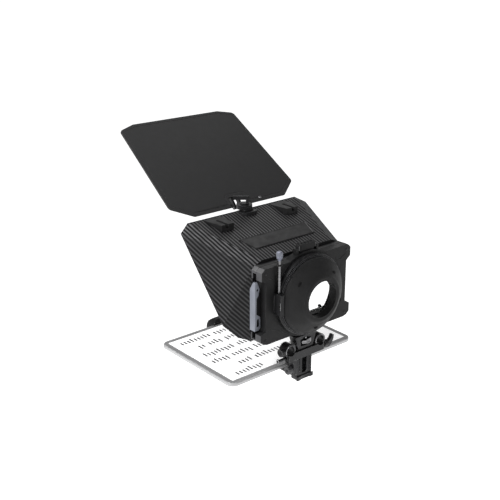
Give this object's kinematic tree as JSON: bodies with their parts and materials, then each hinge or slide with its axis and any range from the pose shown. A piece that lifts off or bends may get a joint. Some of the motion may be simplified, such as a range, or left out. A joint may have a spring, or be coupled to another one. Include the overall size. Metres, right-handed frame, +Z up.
{
  "type": "teleprompter",
  "caption": "Rod-mounted teleprompter: flared hood with slanted glass, lens ring and donut, filter tray, folding flag, sliding riser, rod clamp and a tablet on a rail.",
  "frame": {"origin": "midway between the axes of the two 15 mm support rods, in the plane of the filter stage's rear face", "axes": "+Y along the lens axis from the camera to the reader, +Z up, +X to the camera operator's right"},
  "size_m": [0.2488, 0.3486, 0.3474],
  "materials": {
    "anodised_black": "fine bead-blasted black anodising",
    "black_plastic": "satin moulded black",
    "carbon_weave": "black with a raised diagonal woven stripe",
    "flag_sheet": "matt black fine-grained sheet",
    "black_rubber": "matt",
    "steel": "bright turned",
    "blue_grey_metal": "blue-grey anodised",
    "clear_glass": "beam-splitter coated",
    "tablet_metal": "satin grey",
    "screen": "white display with grey script lines"
  },
  "bodies": {
    "root": {"rod_clamp_body": "anodised_black", "cross_pin": "steel"},
    "rod_thumbscrew": {"left_rod_thumbscrew": "anodised_black"},
    "wing_lever": {"right_wing_lever": "anodised_black"},
    "height_knob": {"height_lock_knob": "anodised_black"},
    "mast": {"riser_post": "anodised_black", "riser_foot": "anodised_black", "riser_foot_lip": "anodised_black", "riser_head": "anodised_black", "rear_housing": "black_plastic", "front_housing": "black_plastic", "lens_ring": "anodised_black", "lens_donut": "black_rubber", "ring_clamp_block": "anodised_black", "hood_shell": "carbon_weave", "glass_frame": "anodised_black", "glass_gasket": "black_rubber", "beam_splitter_glass": "clear_glass", "glass_clip_left": "anodised_black", "glass_clip_right": "anodised_black", "label_plate": "black_plastic", "anchor_pad_left": "black_plastic", "anchor_pad_right": "black_plastic", "flag_shoe": "anodised_black", "flag_hinge_base": "anodised_black", "tablet_rail": "anodised_black", "tablet_rest_pad": "black_rubber", "rear_jaw": "anodised_black", "rear_jaw_pad": "black_rubber"},
    "latch": {"release_latch": "steel", "latch_screw": "steel"},
    "ring_screw": {"clamp_screw_rod": "steel", "clamp_screw_knob": "blue_grey_metal", "clamp_screw_ring": "black_rubber"},
    "filter_tray": {"tray_frame": "anodised_black", "tray_handle": "blue_grey_metal"},
    "release_tab": {"hood_release_tab": "black_plastic"},
    "flag_wheel": {"flag_thumbwheel": "anodised_black"},
    "flag_lever": {"flag_lock_lever": "anodised_black"},
    "flag": {"flag_panel": "flag_sheet", "flag_bracket": "anodised_black", "flag_hinge_pin": "steel", "flag_rivet": "steel"},
    "jaw": {"front_jaw": "anodised_black", "front_jaw_pad": "black_rubber", "jaw_guide_rod": "steel", "jaw_spring": "steel"},
    "tablet": {"tablet_body": "tablet_metal", "tablet_screen": "screen"},
    "power_button": {"tablet_power_button": "tablet_metal"},
    "volume_button": {"tablet_volume_button": "tablet_metal"}
  },
  "joints": [
    {"name": "height_slide", "type": "slide", "parent": "root", "child": "mast", "axis": [0, 0, 1], "range_m": [0, 0.028]},
    {"name": "rod_thumbscrew_turn", "type": "hinge", "parent": "root", "child": "rod_thumbscrew", "pos_m": [-0.0435, 0.006, 0], "axis": [1, 0, 0], "continuous": true},
    {"name": "wing_lever_turn", "type": "hinge", "parent": "root", "child": "wing_lever", "pos_m": [0.044, 0.0045, -0.011], "axis": [1, 0, 0], "range_deg": [-60, 60]},
    {"name": "height_knob_turn", "type": "hinge", "parent": "root", "child": "height_knob", "pos_m": [-0.028, 0.006, -0.0335], "axis": [1, 0, 0], "continuous": true},
    {"name": "latch_press", "type": "slide", "parent": "mast", "child": "latch", "axis": [0, 1, 0], "range_m": [0, 0.0016], "stiffness_N_per_m": 1500},
    {"name": "ring_screw_turn", "type": "hinge", "parent": "mast", "child": "ring_screw", "pos_m": [-0.0595, -0.005, 0.15], "axis": [0, 0, 1], "continuous": true},
    {"name": "tray_slide", "type": "slide", "parent": "mast", "child": "filter_tray", "axis": [-1, 0, 0], "range_m": [0, 0.15]},
    {"name": "release_tab_press", "type": "slide", "parent": "mast", "child": "release_tab", "axis": [0, 0, -1], "range_m": [0, 0.0024], "stiffness_N_per_m": 1200},
    {"name": "flag_wheel_turn", "type": "hinge", "parent": "mast", "child": "flag_wheel", "pos_m": [0, 0.1425, 0.184], "axis": [0, 0, 1], "continuous": true},
    {"name": "flag_lever_swing", "type": "hinge", "parent": "mast", "child": "flag_lever", "pos_m": [0, 0.1425, 0.188], "axis": [0, 0, 1], "range_deg": [0, 100]},
    {"name": "flag_tilt", "type": "hinge", "parent": "mast", "child": "flag", "pos_m": [0, 0.1585, 0.1785], "axis": [1, 0, 0], "range_deg": [-158, 30]},
    {"name": "jaw_slide", "type": "slide", "parent": "mast", "child": "jaw", "axis": [0, 1, 0], "range_m": [0, 0.015], "stiffness_N_per_m": 400, "springref_m": -0.02},
    {"name": "tablet_slide_out", "type": "slide", "parent": "mast", "child": "tablet", "axis": [1, 0, 0], "range_m": [0, 0.12]},
    {"name": "power_button_press", "type": "slide", "parent": "tablet", "child": "power_button", "axis": [-1, 0, 0], "range_m": [0, 0.0004], "stiffness_N_per_m": 1500},
    {"name": "volume_button_press", "type": "slide", "parent": "tablet", "child": "volume_button", "axis": [-1, 0, 0], "range_m": [0, 0.0004], "stiffness_N_per_m": 1500}
  ]
}
